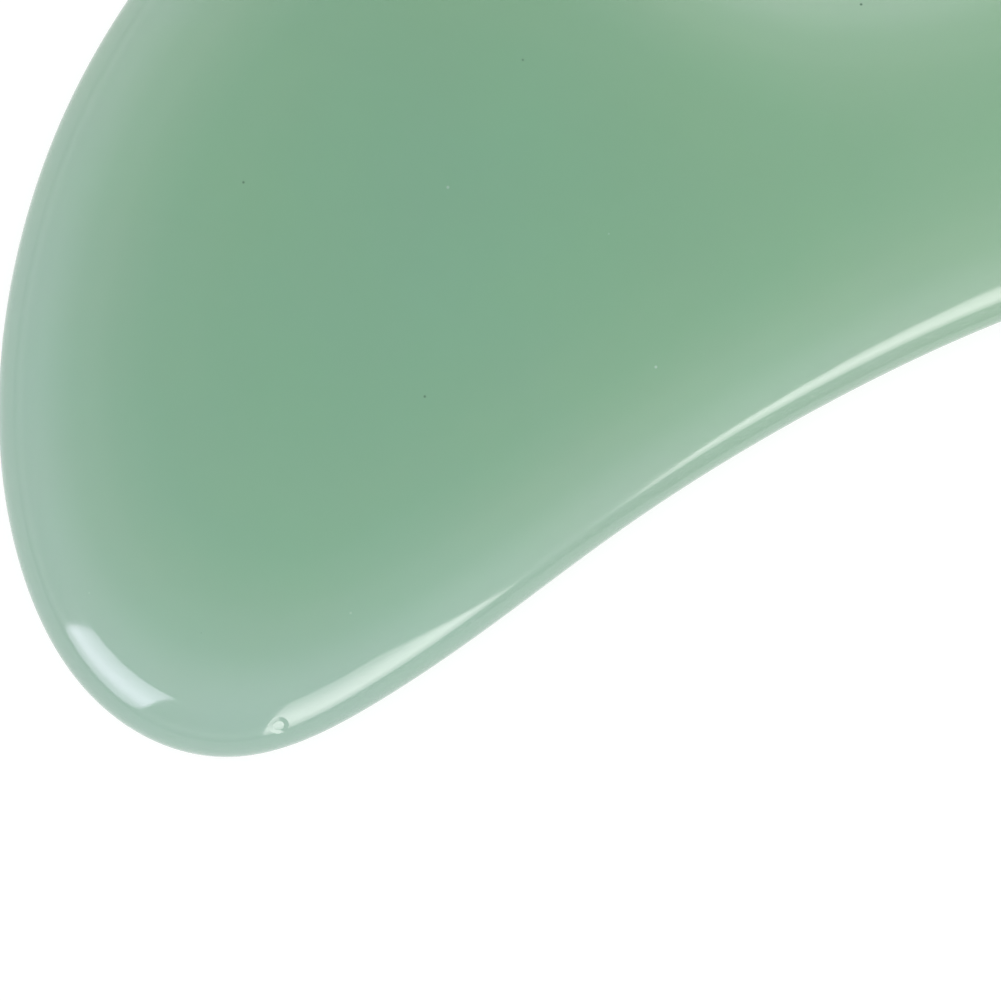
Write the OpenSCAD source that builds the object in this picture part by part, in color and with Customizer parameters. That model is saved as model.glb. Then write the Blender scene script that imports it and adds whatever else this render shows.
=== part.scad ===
// Gua sha scraper: a flat massage board ground from one slab of pale green stone.
// Seen from above, a big lobe and a small lobe are joined by a waist. A notch cuts into
// the back edge between the lobes, and a long shallow hollow runs along the front edge.
// The rim is rounded over all the way round and the same above as below.
// X runs along the board, Y across it towards the notch, and Z up through its thickness.
// The origin lies on the resting face, under the middle of the board's length and width.

/* [Board] */
// Length of the board, over both lobes
board_l = 86; // [76:1:100]
// Width of the board, across the big lobe
board_w = 45.5; // [42:0.5:50]
// Thickness of the board at its flat middle
board_t = 6; // [4:0.5:8]

/* [Cut-ins] */
// Depth of the notch in the back edge, below the top of the big lobe
notch_d = 17.3; // [15:0.1:18.5]
// Depth of the hollow in the front edge, above the tip of the big lobe
hollow_d = 9.5; // [8:0.1:11]

/* [Edge] */
// How far in from the rim the rounded nose reaches
nose_w = 2.6; // [1.5:0.1:4]
// Height of the nose above the middle plane, as a share of half the thickness
nose_share = 0.7; // [0.5:0.05:0.9]
// How far in from the rim the gentle taper reaches the full thickness
taper_w = 7; // [5:0.5:7]

/* [Smoothness] */
// Points on the outline for each of its control points
points_each = 7; // [4:1:9]
// Rings of points on the nose, from the rim to where the taper takes over
nose_rings = 6; // [3:1:8]
// Rings of points on the taper
taper_rings = 3; // [2:1:5]

/* [Hidden] */

half_t = board_t / 2;
nose_h = half_t * nose_share;
// How far the taper would rise above the flat faces, which are lapped down to board_t
lapped = 0.02;

// Control points of the outline, anticlockwise, in millimetres on a board of the
// nominal size. The closed curve that follows them is then stretched to the board's
// length and width.
nominal_w = 45.5;
notch_y = nominal_w - notch_d;
hollow_y = hollow_d;
drawn = [
    // back and outer flank of the big lobe
    [37.5, 43.3],
    [28.4, 46.8],
    [17.9, 41.8],
    [7.7, 33.7],
    [0.1, 20.3],
    // rounded front tip of the big lobe
    [-0.6, 6.3],
    [6.4, -0.9],
    [15.2, 0.5],
    // long hollow in the front edge
    [23.2, hollow_y - 6.5],
    [31.5, hollow_y - 3.5],
    [43.5, hollow_y - 0.8],
    [56.5, hollow_y + 0.5],
    [68.6, hollow_y - 1],
    // round end of the small lobe
    [78.6, 7.2],
    [85.6, 13],
    [86.5, 24.4],
    [83.6, 34.6],
    [75.8, 39.8],
    [68.2, 36.8],
    // wide notch in the back edge
    [65.4, notch_y + 3.2],
    [59.2, notch_y - 0.8],
    [46.8, notch_y - 0.3],
    [40.8, notch_y + 6.1],
];

// The control point at the big lobe's west end. The ones before and after it face each
// other across the board, pair by pair, as far as the small lobe's east end.
west_point = 4;

// Item i of a list that closes on itself.
function item(list, i) = list[(i + len(list)) % len(list)];

// The point at share f of the way along stretch i of the closed cubic spline.
function spline_point(ctrl, i, f) =
    (pow(1 - f, 3) * item(ctrl, i - 1)
    + (3 * pow(f, 3) - 6 * pow(f, 2) + 4) * item(ctrl, i)
    + (3 * f + 3 * pow(f, 2) - 3 * pow(f, 3) + 1) * item(ctrl, i + 1)
    + pow(f, 3) * item(ctrl, i + 2)) / 6;

// The whole spline as a ring of points.
function spline(ctrl) = [
    for (i = [0:len(ctrl) - 1], k = [0:points_each - 1]) spline_point(ctrl, i, k / points_each)
];

function low(ring, axis) = min([for (p = ring) p[axis]]);
function high(ring, axis) = max([for (p = ring) p[axis]]);

// The drawn value v on one axis, centred and stretched so that the outline spans size.
function fitted(v, outline, axis, size) =
    let (a = low(outline, axis), b = high(outline, axis))
    (v - (a + b) / 2) * size / (b - a);

// The square-on direction out of the edge that leads from point a to point b.
function outward(a, b) = [b.y - a.y, a.x - b.x] / norm(b - a);

// The control points moved inwards so that every side of their polygon shifts by d.
function inset(ctrl, d) = [
    for (i = [0:len(ctrl) - 1])
        let (
            before = outward(item(ctrl, i - 1), ctrl[i]),
            after = outward(ctrl[i], item(ctrl, i + 1))
        )
        ctrl[i] - d * (before + after) / (1 + before * after)
];

// The section of the upper half, as [distance in from the rim, height above the middle].
// The nose is a quarter of an ellipse, and the taper adds a rise that levels out.
function rise(d) = (half_t - nose_h + lapped) * (1 - pow(1 - d / taper_w, 2));
section = [
    for (i = [0:nose_rings])
        let (a = 90 * i / nose_rings, d = nose_w * (1 - cos(a)))
        [d, nose_h * sin(a) + rise(d)],
    for (i = [1:taper_rings])
        let (d = nose_w + (taper_w - nose_w) * i / taper_rings)
        [d, nose_h + rise(d)],
];

// Faces that fill a ring of n points from its west end to its east end, in strips
// between the points k places before the west end and those k places after it.
function strips(n, west) = [
    [west, (west + 1) % n, (west + n - 1) % n],
    for (k = [1:floor(n / 2) - 1])
        [for (i = [west + k, west + k + 1, west - k - 1, west - k]) (i + n) % n]
];

// A closed solid through rings of equal length, stacked from the lowest to the highest,
// with a flat face across the first ring and another across the last.
module ring_solid(rings, west) {
    n = len(rings[0]);
    last = (len(rings) - 1) * n;
    sides = [
        for (r = [0:len(rings) - 2], i = [0:n - 1])
            let (a = r * n + i, b = r * n + (i + 1) % n)
            each [[a, a + n, b], [b, a + n, b + n]]
    ];
    bottom = strips(n, west);
    top = [for (face = bottom) [for (i = [len(face) - 1:-1:0]) last + face[i]]];
    polyhedron(points = [for (ring = rings) each ring], faces = concat(bottom, top, sides));
}

module scraper_body() {
    outline = spline(drawn);
    ctrl = [for (p = drawn) [fitted(p.x, outline, 0, board_l), fitted(p.y, outline, 1, board_w)]];
    count = len(section);
    lower = [for (i = [count - 1:-1:1]) [section[i][0], half_t - section[i][1]]];
    upper = [for (s = section) [s[0], half_t + s[1]]];
    rings = [
        for (s = concat(lower, upper))
            [for (p = spline(inset(ctrl, s[0]))) [p.x, p.y, s[1]]]
    ];
    color([0.55, 0.71, 0.6])
        intersection() {
            ring_solid(rings, west_point * points_each);
            translate([-board_l, -board_w, 0]) cube([2 * board_l, 2 * board_w, board_t]);
        }
}

scraper_body();
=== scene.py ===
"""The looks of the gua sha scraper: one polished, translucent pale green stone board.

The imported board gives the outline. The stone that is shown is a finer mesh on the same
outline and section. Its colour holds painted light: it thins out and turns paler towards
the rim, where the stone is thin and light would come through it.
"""

import math

import bmesh
import bpy
import numpy as np
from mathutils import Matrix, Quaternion, Vector
from mathutils.geometry import delaunay_2d_cdt

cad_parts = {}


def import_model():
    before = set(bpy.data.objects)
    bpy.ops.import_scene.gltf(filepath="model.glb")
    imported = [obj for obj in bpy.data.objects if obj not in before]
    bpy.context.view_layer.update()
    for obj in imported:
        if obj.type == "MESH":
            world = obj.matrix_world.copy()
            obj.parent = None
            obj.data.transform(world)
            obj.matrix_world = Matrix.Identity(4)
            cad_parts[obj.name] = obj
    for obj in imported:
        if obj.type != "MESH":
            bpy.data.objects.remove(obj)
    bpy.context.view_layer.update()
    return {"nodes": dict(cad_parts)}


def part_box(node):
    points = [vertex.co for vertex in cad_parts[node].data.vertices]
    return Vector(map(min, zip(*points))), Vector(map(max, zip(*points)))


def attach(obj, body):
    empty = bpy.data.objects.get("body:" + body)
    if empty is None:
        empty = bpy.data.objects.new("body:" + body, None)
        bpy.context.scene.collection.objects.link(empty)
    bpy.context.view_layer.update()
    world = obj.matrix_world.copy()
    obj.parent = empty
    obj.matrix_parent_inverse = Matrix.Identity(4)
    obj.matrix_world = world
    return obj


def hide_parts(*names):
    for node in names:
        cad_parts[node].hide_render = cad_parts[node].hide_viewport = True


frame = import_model()
LOW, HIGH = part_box("scraper_body")
LENGTH, WIDTH, THICKNESS = HIGH - LOW
MID_Z = (LOW.z + HIGH.z) / 2
MM = 0.001

# Section of the rim, from the rim inwards
NOSE_W = 2.6 * MM
NOSE_SHARE = 0.7
TAPER_W = 7 * MM
CROWN = 0.06 * MM

# Distance from the flat face's edge over which the crown rises
CROWN_FADE = 4 * MM

# How finely the stone is meshed
FINER = 5
CURVE_STEPS = 16
NOSE_RINGS = 22
TAPER_RINGS = 8
FILL_STEP = 1.0 * MM
FILL_ROW = 0.87 * FILL_STEP
FILL_GAP = 0.7 * FILL_STEP
FILL_INSET = 6.4 * MM
FILL_PRECISION = 1e-7
SMOOTHING = 60
SAME_PLACE = 0.001 * MM

# Blender's way to ask for only those triangles that lie inside the curve
KEEP_INSIDE = 1

# Distance over which light from the rim fades in the stone
LIGHT_REACH = 4.5 * MM

# Camera: straight above the big lobe, turned so that the board lies aslant
VIEW_TURN = math.radians(-17.92)
VIEW_WIDTH = 50.99 * MM
AIM = (0.2826, 0.1886)
LENS_MM = 200
SENSOR_MM = 36
NEAR_CLIP = 10 * MM


def place_on_board(share_x, share_y, z=0):
    """A point given as shares of the board's length and width."""
    return Vector((LOW.x + share_x * LENGTH, LOW.y + share_y * WIDTH, z))


def show(obj):
    """Puts an object in the scene."""
    bpy.context.scene.collection.objects.link(obj)


# ---------------------------------------------------------------- the stone's mesh

def rim_loop(node):
    """The widest outline of the CAD board, in order, as x and y."""
    mesh = frame["nodes"][node].data
    co = np.array([v.co for v in mesh.vertices])
    on_rim = np.abs(co[:, 2] - MID_Z) < SAME_PLACE
    where = {tuple(np.round(co[i, :2] / MM, 4)): co[i, :2] for i in np.flatnonzero(on_rim)}
    points = list(where.values())
    loop = [points.pop(0)]
    while points:
        gaps = [np.hypot(*(p - loop[-1])) for p in points]
        loop.append(points.pop(int(np.argmin(gaps))))
    loop = np.array(loop)
    turned = np.roll(loop, -1, axis=0)
    area = np.sum(loop[:, 0] * turned[:, 1] - loop[:, 1] * turned[:, 0])
    return loop if area > 0 else loop[::-1]


def finer_loop(loop, times):
    """A closed smooth curve through the loop's points, with evenly spaced points."""
    before, after = np.roll(loop, 1, axis=0), np.roll(loop, -1, axis=0)
    beyond = np.roll(loop, -2, axis=0)
    dense = []
    for t in np.arange(CURVE_STEPS) / CURVE_STEPS:
        dense.append(0.5 * (
            2 * loop
            + (after - before) * t
            + (2 * before - 5 * loop + 4 * after - beyond) * t ** 2
            + (3 * loop - before - 3 * after + beyond) * t ** 3
        ))
    dense = np.stack(dense, axis=1).reshape(-1, 2)
    closed = np.vstack([dense, dense[:1]])
    along = np.concatenate([[0], np.cumsum(np.hypot(*np.diff(closed, axis=0).T))])
    at = np.linspace(0, along[-1], len(loop) * times, endpoint=False)
    return np.column_stack([np.interp(at, along, closed[:, k]) for k in (0, 1)])


def outward_normals(loop):
    """The direction square-on to a closed anticlockwise curve, away from its inside."""
    tangent = np.roll(loop, -1, axis=0) - np.roll(loop, 1, axis=0)
    tangent /= np.hypot(*tangent.T)[:, None]
    return np.column_stack([tangent[:, 1], -tangent[:, 0]])


def height(inset):
    """Height of the upper surface above the middle plane, at a distance in from the rim."""
    half = THICKNESS / 2
    nose_h = half * NOSE_SHARE
    on_nose = 1 - np.clip(inset / NOSE_W, 0, 1)
    on_taper = 1 - np.clip(inset / TAPER_W, 0, 1)
    nose = nose_h * np.sqrt(1 - on_nose ** 2)
    return nose + (half - nose_h - CROWN) * (1 - on_taper ** 2)


def ring_insets():
    """How far in from the rim each ring of the mesh lies: close together on the nose."""
    angles = np.linspace(0, math.pi / 2, NOSE_RINGS + 1)
    nose = NOSE_W * (1 - np.cos(angles))
    taper = np.linspace(NOSE_W, FILL_INSET, TAPER_RINGS + 1)[1:]
    return np.concatenate([nose, taper])


def inside(points, loop):
    """Which points lie inside a closed curve, by counting the sides to their right."""
    a, b = loop, np.roll(loop, -1, axis=0)
    found = np.zeros(len(points), bool)
    for (ax, ay), (bx, by) in zip(a, b):
        crosses = (ay > points[:, 1]) != (by > points[:, 1])
        if crosses.any():
            x = ax + (points[:, 1] - ay) * (bx - ax) / (by - ay)
            found ^= crosses & (points[:, 0] < x)
    return found


def nearest(points, loop):
    """The distance from each point to the nearest point of a curve."""
    return np.array([np.hypot(*(loop - p).T).min() for p in points])


def rim_light(points, loop):
    """How much light reaches each point from the rim: 1 on a straight rim, more in a lobe's tip.

    Light comes in all round the rim and fades with the distance it has gone through the stone.
    """
    ahead = np.roll(loop, -1, axis=0)
    lengths = np.hypot(*(ahead - loop).T)
    middles = (loop + ahead) / 2
    reached = [np.exp(-np.hypot(*(middles - p[:2]).T) / LIGHT_REACH) @ lengths for p in points]
    return np.array(reached) / (2 * LIGHT_REACH)


def fill(loop):
    """Points and triangles that fill a closed curve. The curve's own points come first."""
    spots = np.array([
        (x + (row % 2) * FILL_STEP / 2, y)
        for row, y in enumerate(np.arange(LOW.y, HIGH.y, FILL_ROW))
        for x in np.arange(LOW.x, HIGH.x, FILL_STEP)
    ])
    spots = spots[inside(spots, loop)]
    spots = spots[nearest(spots, loop) > FILL_GAP]
    every = [Vector(p) for p in np.vstack([loop, spots]) / MM]
    sides = [(i, (i + 1) % len(loop)) for i in range(len(loop))]
    found = delaunay_2d_cdt(every, sides, [], KEEP_INSIDE, FILL_PRECISION)
    return np.array(found[0]) * MM, [tuple(f) for f in found[2]]


def crowned(points, faces, edge_count, start):
    """Heights over the flat middle: a shallow crown that meets the edge smoothly."""
    z = np.full(len(points), start)
    near = [set() for _ in points]
    for f in faces:
        for i in f:
            near[i].update(f)
    near = [np.array(sorted(n)) for n in near]
    depth = nearest(points, points[:edge_count])
    free = range(edge_count, len(points))
    z += CROWN * (1 - np.exp(-depth / CROWN_FADE))
    for _ in range(SMOOTHING):
        z[edge_count:] = [z[near[i]].mean() for i in free]
    return np.minimum(z, THICKNESS / 2)


def half_points(rim, normals, insets, flat, flat_z, side):
    """Points of the upper half at side 1 or the lower half at -1: rings, then the flat middle."""
    layers = []
    for inset in insets[:-1]:
        z = np.full(len(rim), MID_Z + side * height(inset))
        layers.append(np.column_stack([rim - normals * inset, z]))
    layers.append(np.column_stack([flat, MID_Z + side * flat_z]))
    return np.vstack(layers)


def half_faces(base, count, rings, flat_faces, upper):
    """Faces of the half whose points start at base: between its rings, then over its middle."""
    faces = []
    for r in range(rings - 1):
        for i in range(count):
            a, b = base + r * count + i, base + r * count + (i + 1) % count
            quad = (a, b, b + count, a + count)
            faces.append(quad if upper else quad[::-1])
    top = base + (rings - 1) * count
    return faces + [tuple(top + i for i in (f if upper else f[::-1])) for f in flat_faces]


def stone_mesh():
    """The whole board: rings round the rim, and a filled face above and below."""
    rim = finer_loop(rim_loop("scraper_body"), FINER)
    normals = outward_normals(rim)
    insets = ring_insets()
    flat, flat_faces = fill(rim - normals * insets[-1])
    flat_z = crowned(flat, flat_faces, len(rim), float(height(insets[-1])))
    lower, upper = (half_points(rim, normals, insets, flat, flat_z, side) for side in (-1, 1))
    points = np.vstack([lower, upper])
    faces = half_faces(0, len(rim), len(insets), flat_faces, False)
    faces += half_faces(len(lower), len(rim), len(insets), flat_faces, True)
    mesh = bpy.data.meshes.new("stone_board")
    mesh.from_pydata(points.tolist(), [], faces)
    light = mesh.attributes.new("rim_light", "FLOAT", "POINT")
    light.data.foreach_set("value", rim_light(points, rim).astype(np.float32))
    mesh.shade_smooth()
    return mesh


def weld(obj):
    """Joins points that lie on each other, so that the surface is one closed skin."""
    bm = bmesh.new()
    bm.from_mesh(obj.data)
    bmesh.ops.remove_doubles(bm, verts=bm.verts, dist=SAME_PLACE)
    bmesh.ops.recalc_face_normals(bm, faces=bm.faces)
    bm.to_mesh(obj.data)
    bm.free()


# ---------------------------------------------------------------- material

# Colour of the stone by the light that reaches it from the rim: the stone's deep green where
# little comes, and painted light, paler and milkier, where much comes
STONE_AND_RIM_GLOW_COLOURS = [
    (0.15, (0.20, 0.41, 0.255)),
    (0.30, (0.215, 0.42, 0.26)),
    (0.45, (0.23, 0.435, 0.275)),
    (0.60, (0.265, 0.46, 0.305)),
    (0.75, (0.297, 0.489, 0.340)),
    (0.90, (0.347, 0.527, 0.393)),
    (1.05, (0.335, 0.51, 0.38)),
]
MOST_LIGHT = 1.2

# Tints at the two ends of the board, and painted light across it: brighter and a little bluer
# towards the long hollow's side, darker towards the other
TINT_X = (0.975, 0.963, 1.060), (1.025, 1.037, 0.940)
PAINTED_LIGHT_TINT_Y = (1.075, 1.068, 1.100), (0.925, 0.932, 0.900)

CLOUD_SIZE = 9 * MM
CLOUD_DEPTH = 0.03
FLECK_SPACING = 3 * MM
FLECK_RADIUS = 0.1 * MM
DARK_FLECK, PALE_FLECK = (0.09, 0.19, 0.12), (0.38, 0.56, 0.46)

# A fleck is dark where its random number is under the first value, and pale over the second
FLECK_KINDS = 0.4, 0.6

# Faint waves in the polish, which also vary its roughness
WAVE_SIZE = 8 * MM
WAVE_HEIGHT = 0.01 * MM
WAVE_SPREAD = 0.3, 0.7
ROUGHNESS = 0.055, 0.085

# A tiny nick in the rim of the big lobe: its place as shares of the board's length and width
NICK = (0.1190, 0.0262)
NICK_RADIUS = 0.52 * MM
NICK_WALL = 0.24 * MM
NICK_DEPTH = 0.045 * MM


class Tree:
    """A short way to add nodes to a material or a light, and to join them up."""

    def __init__(self, owner):
        owner.use_nodes = True
        self.nodes, self.links = owner.node_tree.nodes, owner.node_tree.links

    def add(self, kind, settings, inputs):
        """A node with its settings. An input is a value, or another node's output."""
        node = self.nodes.new("ShaderNode" + kind)
        for name, value in settings.items():
            setattr(node, name, value)
        for name, value in inputs.items():
            if isinstance(value, bpy.types.NodeSocket):
                self.links.new(value, node.inputs[name])
            else:
                node.inputs[name].default_value = value
        return node

    def remap(self, value, low, high, to_low=0, to_high=1, clamp=True):
        inputs = {"Value": value, "From Min": low, "From Max": high,
                  "To Min": to_low, "To Max": to_high}
        return self.add("MapRange", {"clamp": clamp}, inputs).outputs["Result"]

    def math(self, operation, *values):
        return self.add("Math", {"operation": operation}, dict(enumerate(values))).outputs[0]

    def mix(self, factor, a, b, blend="MIX"):
        """Inputs 6 and 7 and output 2 are the node's colours."""
        settings = {"data_type": "RGBA", "blend_type": blend}
        return self.add("Mix", settings, {0: factor, 6: a, 7: b}).outputs[2]


def stone_colour_and_painted_rim_glow(tree):
    """Deep green in the middle of the stone, and painted rim light, paler and milkier, where the
    rim lights it.
    """
    light = tree.add("Attribute", {"attribute_name": "rim_light"}, {})
    share = tree.remap(light.outputs["Fac"], 0, MOST_LIGHT)
    node = tree.add("ValToRGB", {}, {"Fac": share})
    ramp = node.color_ramp
    ramp.interpolation = "CARDINAL"
    while len(ramp.elements) < len(STONE_AND_RIM_GLOW_COLOURS):
        ramp.elements.new(1)
    for element, (at, colour) in zip(ramp.elements, STONE_AND_RIM_GLOW_COLOURS):
        element.position = at / MOST_LIGHT
        element.color = (*colour, 1)
    return node.outputs["Color"]


def tinted_and_painted_light(tree, colour, place):
    """A slow drift of colour along the board, and painted light across it: brighter towards one
    long side and darker towards the other.
    """
    sides = tree.add("SeparateXYZ", {}, {"Vector": place})
    # Along the board the tint is the stone's colour; across it, the tint is painted light
    for axis, low, high, tints in (("X", LOW.x, HIGH.x, TINT_X), ("Y", LOW.y, HIGH.y, PAINTED_LIGHT_TINT_Y)):
        share = tree.remap(sides.outputs[axis], low, high)
        tint = tree.mix(share, (*tints[0], 1), (*tints[1], 1))
        colour = tree.mix(1, colour, tint, "MULTIPLY")
    return colour


def clouded(tree, colour, place):
    """Soft clouds, each of the three primaries a little apart from the others."""
    inputs = {"Vector": place, "Scale": 1 / CLOUD_SIZE, "Detail": 3, "Roughness": 0.6}
    clouds = tree.add("TexNoise", {}, inputs).outputs["Color"]
    faint = tree.mix(2 * CLOUD_DEPTH, (1, 1, 1, 1), clouds)
    return tree.mix(1, colour, faint, "MULTIPLY")


def flecked(tree, colour, place):
    """A few tiny flecks just under the surface, dark or pale."""
    cells = tree.add("TexVoronoi", {}, {"Vector": place, "Scale": 1 / FLECK_SPACING})
    radius = FLECK_RADIUS / FLECK_SPACING
    fleck = tree.remap(cells.outputs["Distance"], radius, radius / 2)
    chance = tree.add("SeparateColor", {}, {"Color": cells.outputs["Color"]})
    dark_or_pale = tree.remap(chance.outputs["Red"], *FLECK_KINDS)
    kind = tree.mix(dark_or_pale, (*DARK_FLECK, 1), (*PALE_FLECK, 1))
    return tree.mix(fleck, colour, kind)


def nicked(tree, place, spot, normal):
    """The surface's direction with one small round nick pressed into it."""
    inputs = {0: place, 1: spot}
    apart = tree.add("VectorMath", {"operation": "DISTANCE"}, inputs).outputs["Value"]
    height = tree.remap(apart, NICK_RADIUS - NICK_WALL, NICK_RADIUS)
    inputs = {"Height": height, "Distance": NICK_DEPTH, "Normal": normal}
    return tree.add("Bump", {}, inputs).outputs["Normal"]


def stone_material(nick):
    """Polished, milky green stone: soft inside, glossy outside."""
    mat = bpy.data.materials.new("polished_green_stone")
    tree = Tree(mat)
    shader = tree.nodes["Principled BSDF"]
    shader.inputs["IOR"].default_value = 1.58
    shader.inputs["Subsurface Weight"].default_value = 0.35
    shader.inputs["Subsurface Radius"].default_value = (0.8, 1.0, 0.8)
    shader.inputs["Subsurface Scale"].default_value = 1.2 * MM
    place = tree.add("TexCoord", {}, {}).outputs["Object"]
    # The base colour holds painted light: paler towards the rim, as light coming through the thin
    # stone would make it
    colour = tinted_and_painted_light(tree, stone_colour_and_painted_rim_glow(tree), place)
    colour = flecked(tree, clouded(tree, colour, place), place)
    tree.links.new(colour, shader.inputs["Base Color"])

    inputs = {"Vector": place, "Scale": 1 / WAVE_SIZE, "Detail": 2}
    waves = tree.add("TexNoise", {}, inputs).outputs["Fac"]
    roughness = tree.remap(waves, *WAVE_SPREAD, *ROUGHNESS)
    tree.links.new(roughness, shader.inputs["Roughness"])
    bump = tree.add("Bump", {}, {"Height": waves, "Distance": WAVE_HEIGHT})
    normal = nicked(tree, place, nick, bump.outputs["Normal"])
    tree.links.new(normal, shader.inputs["Normal"])
    return mat


def on_top(obj, share_x, share_y):
    """The point of a mesh's upper side nearest to a place given as shares of the board."""
    at = place_on_board(share_x, share_y).xy
    upper = [v.co for v in obj.data.vertices if v.co.z > MID_Z]
    return min(upper, key=lambda co: (co.xy - at).length)


# ---------------------------------------------------------------- studio

# Brightness of the even sky
SKY = 0.75

# The floor glows, so that it is white near the board, and fades into the sky far away
FLOOR_SIZE = 6
FLOOR_SHADE = (0.35, 0.35, 0.35)
FLOOR_GLOW, FAR_GLOW = 0.72, 0.49
FADE_FROM, FADE_TO = 1.2, 2.8

# A pale band round the horizon, brightest at the middle of its height
RING_GLOW = 1.2
RING_RADIUS = 2.5
RING_HEIGHTS = 0.1, 1.2

# A dark card on the floor in front of the long hollow. It widens and rises away from the board.
CARD_MIDDLE = (0.52, 0.2)
CARD_TURN = 13.7
CARD_GAP = 10 * MM
CARD_NEAR_W = 24 * MM
CARD_REACH = 400 * MM
CARD_FAR_W = 400 * MM
CARD_RISE = 30 * MM
CARD_SHADE = (0.35, 0.35, 0.35)

# A broad light straight above
OVERHEAD_HEIGHT = 0.8
OVERHEAD_SIDE = 0.6
OVERHEAD_RADIANCE = 1.7

# The lights that the polish mirrors, placed round the big lobe as the camera sees it.
# Azimuth, turn and lean are in degrees. At a turn of 0 a light faces the lobe squarely, and
# lean tips it sideways in its own plane. Trim narrows one side towards the top, as a share
# of the width. A high corner power makes square corners. The grade is the brightness up the
# front, from the foot at 0 to the top at 1.
SOFTBOXES = {
    "softbox_left": {
        "azimuth": -140.7, "distance": 0.384, "centre_height": 0.396,
        "width": 0.255, "tall": 0.7, "turn": 39.2, "lean": 3.2,
        "trim": 0, "corner_power": 8, "radiance": 7, "colour": (1.06, 0.98, 1.19),
        "grade": [(0, 0.28), (0.09, 0.43), (0.27, 0.9), (0.45, 0.73), (0.7, 0.58), (1, 0.4)],
    },
    "softbox_right": {
        "azimuth": -70.8, "distance": 0.492, "centre_height": 0.344,
        "width": 0.316, "tall": 0.58, "turn": -28.1, "lean": -11.2,
        "trim": 0.6, "corner_power": 20, "radiance": 7, "colour": (1.05, 0.98, 0.99),
        "grade": [(0, 0.28), (0.1, 0.5), (0.22, 0.81), (0.35, 0.8), (0.65, 0.5), (1, 0.27)],
    },
}

# Where a softbox's rounded corners start to fade, as a share of the way to its edge
CORNER_FADE = 0.7


def floor():
    """A plain white floor under the board."""
    bpy.ops.mesh.primitive_plane_add(size=FLOOR_SIZE, location=(0, 0, LOW.z))
    plane = bpy.context.object
    plane.name = "floor"
    mat = bpy.data.materials.new("white_floor")
    tree = Tree(mat)
    shader = tree.nodes["Principled BSDF"]
    shader.inputs["Base Color"].default_value = (*FLOOR_SHADE, 1)
    shader.inputs["Roughness"].default_value = 0.9
    shader.inputs["Specular IOR Level"].default_value = 0.1
    shader.inputs["Emission Color"].default_value = (1, 1, 1, 1)
    place = tree.add("TexCoord", {}, {}).outputs["Object"]
    away = tree.add("VectorMath", {"operation": "LENGTH"}, {0: place}).outputs["Value"]
    glow = tree.remap(away, FADE_FROM, FADE_TO, FLOOR_GLOW, FAR_GLOW)
    tree.links.new(glow, shader.inputs["Emission Strength"])
    plane.data.materials.append(mat)


def pale_ring():
    """A round pale band just above the horizon, fading into the sky. Only the polish shows it."""
    low, high = RING_HEIGHTS
    bpy.ops.mesh.primitive_cylinder_add(
        vertices=96, radius=RING_RADIUS, depth=high - low, end_fill_type="NOTHING",
        location=(0, 0, (low + high) / 2),
    )
    ring = bpy.context.object
    ring.name = "pale_ring"
    ring.visible_camera = ring.visible_diffuse = ring.visible_shadow = False
    mat = bpy.data.materials.new("pale_ring")
    tree = Tree(mat)
    place = tree.add("TexCoord", {}, {}).outputs["Object"]
    up = tree.add("SeparateXYZ", {}, {"Vector": place}).outputs["Z"]
    from_middle = tree.math("ABSOLUTE", up)
    strength = tree.remap(from_middle, 0, (high - low) / 2, RING_GLOW, SKY)
    glow = tree.add("Emission", {}, {"Strength": strength})
    tree.links.new(glow.outputs["Emission"], tree.nodes["Material Output"].inputs["Surface"])
    ring.data.materials.append(mat)


def dark_card():
    """A dark card in front of the long hollow. Only the polish shows it."""
    turn = math.radians(CARD_TURN)
    along = Vector((math.cos(turn), math.sin(turn), 0))
    away = Vector((math.sin(turn), -math.cos(turn), 0))
    middle = place_on_board(*CARD_MIDDLE, LOW.z)
    near, far = middle + away * CARD_GAP, middle + away * CARD_REACH
    far.z += CARD_RISE
    corners = [
        near - along * CARD_NEAR_W / 2, near + along * CARD_NEAR_W / 2,
        far + along * CARD_FAR_W / 2, far - along * CARD_FAR_W / 2,
    ]
    mesh = bpy.data.meshes.new("dark_card")
    mesh.from_pydata(corners, [], [(0, 1, 2, 3)])
    card = bpy.data.objects.new("dark_card", mesh)
    show(card)
    card.visible_camera = card.visible_diffuse = card.visible_shadow = False
    mat = bpy.data.materials.new("dark_card")
    mat.use_nodes = True
    mat.node_tree.nodes["Principled BSDF"].inputs["Base Color"].default_value = (*CARD_SHADE, 1)
    mesh.materials.append(mat)


def world():
    """An even white sky."""
    made = bpy.data.worlds.new("studio")
    made.use_nodes = True
    background = made.node_tree.nodes["Background"]
    background.inputs["Color"].default_value = (1, 1, 1, 1)
    background.inputs["Strength"].default_value = SKY
    bpy.context.scene.world = made


def graded(light, grade, trim, corner_power):
    """Makes a lamp's front vary in brightness from foot to top, and shapes its outline."""
    tree = Tree(light)
    place = tree.add("NewGeometry", {}, {}).outputs["Parametric"]
    sides = tree.add("SeparateXYZ", {}, {"Vector": place})
    across, up = sides.outputs["X"], sides.outputs["Y"]
    curve = tree.add("FloatCurve", {}, {"Value": up})
    points = curve.mapping.curves[0].points
    for at, strength in grade[1:-1]:
        points.new(at, strength)
    points[0].location, points[-1].location = grade[0], grade[-1]
    curve.mapping.update()
    kept = tree.remap(up, 0, 1, 1, 1 - trim)
    across = tree.math("DIVIDE", tree.math("SUBTRACT", 1, across), kept)
    powers = []
    for along in (across, up):
        from_middle = tree.remap(along, 0.5, 1, 0, 1, clamp=False)
        powers.append(tree.math("POWER", tree.math("ABSOLUTE", from_middle), corner_power))
    front = tree.remap(tree.math("ADD", *powers), 1, CORNER_FADE)
    strength = tree.math("MULTIPLY", front, curve.outputs["Value"])
    tree.links.new(strength, tree.nodes["Emission"].inputs["Strength"])


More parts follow.
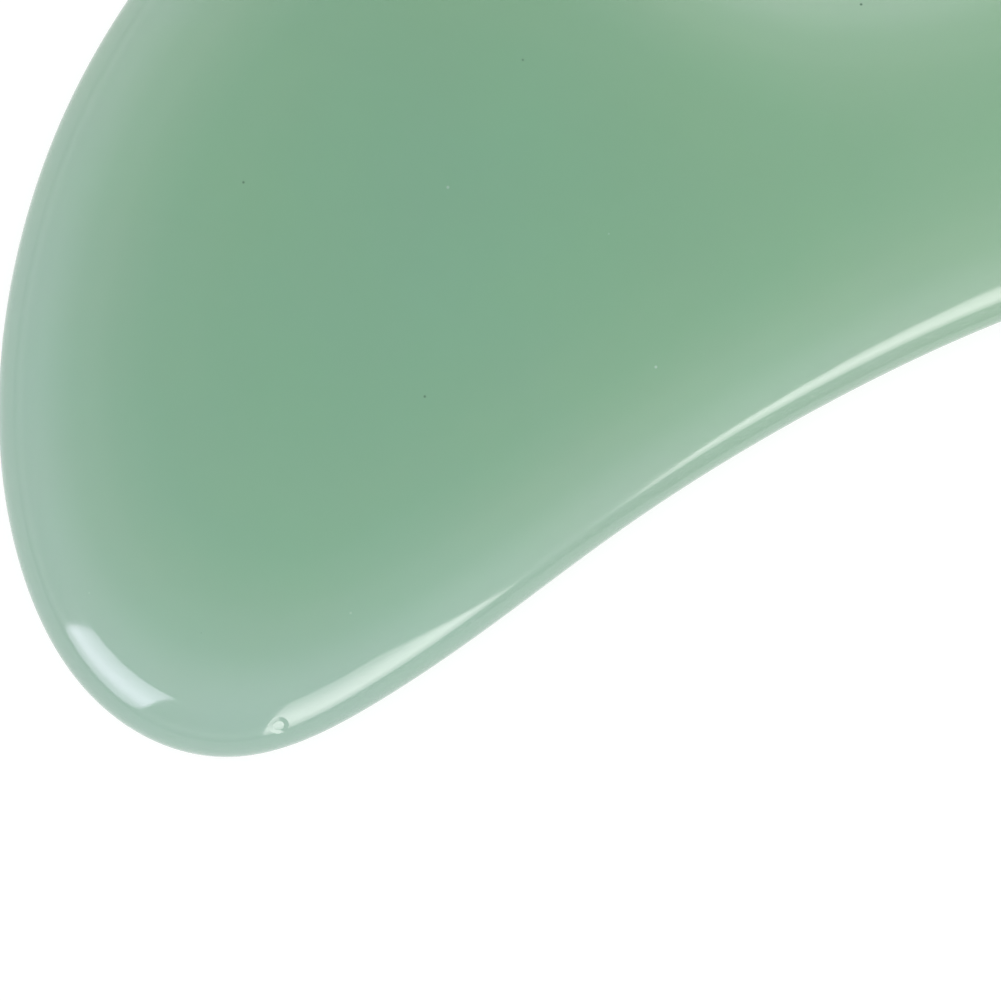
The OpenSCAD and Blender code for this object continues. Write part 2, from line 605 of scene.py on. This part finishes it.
def softbox(name, placing):
    """An upright soft light beside the big lobe."""
    angle = math.radians(placing["azimuth"]) + VIEW_TURN
    light = bpy.data.lights.new(name, "AREA")
    light.shape = "RECTANGLE"
    light.color = placing["colour"]
    light.size, light.size_y = placing["width"], placing["tall"]
    light.energy = placing["radiance"] * math.pi * light.size * light.size_y
    graded(light, placing["grade"], placing["trim"], placing["corner_power"])
    lamp = bpy.data.objects.new(name, light)
    beside = Vector((math.cos(angle), math.sin(angle), 0)) * placing["distance"]
    lamp.location = place_on_board(*AIM, placing["centre_height"]) + beside
    faced = angle + math.pi + math.radians(placing["turn"])
    facing = Vector((math.cos(faced), math.sin(faced), 0))
    upright = facing.to_track_quat("-Z", "Y")
    leaning = Quaternion(facing, math.radians(placing["lean"]))
    lamp.rotation_euler = (leaning @ upright).to_euler()
    lamp.visible_camera = lamp.visible_diffuse = False
    show(lamp)


def overhead():
    """A broad, dull light straight above, for even light and a soft shadow on the floor."""
    light = bpy.data.lights.new("overhead", "AREA")
    light.shape = "SQUARE"
    light.size = OVERHEAD_SIDE
    light.energy = OVERHEAD_RADIANCE * math.pi * OVERHEAD_SIDE ** 2
    lamp = bpy.data.objects.new("overhead", light)
    lamp.location.z = OVERHEAD_HEIGHT
    lamp.visible_camera = lamp.visible_glossy = False
    show(lamp)


def camera():
    """Straight above the big lobe, as far away as the lens needs to see the view's width."""
    data = bpy.data.cameras.new("camera")
    data.lens, data.sensor_width = LENS_MM, SENSOR_MM
    cam = bpy.data.objects.new("camera", data)
    away = VIEW_WIDTH * LENS_MM / SENSOR_MM
    cam.location = place_on_board(*AIM, MID_Z + away)
    cam.rotation_euler = (0, 0, VIEW_TURN)
    data.clip_start = NEAR_CLIP
    show(cam)
    bpy.context.scene.camera = cam


bpy.context.scene.view_settings.view_transform = "Standard"
stone = bpy.data.objects.new("stone_board", stone_mesh())
show(stone)
weld(stone)
stone.data.materials.append(stone_material(on_top(stone, *NICK)))
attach(stone, "root")
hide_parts("scraper_body")

floor()
pale_ring()
dark_card()
world()
overhead()
for name, placing in SOFTBOXES.items():
    softbox(name, placing)
camera()
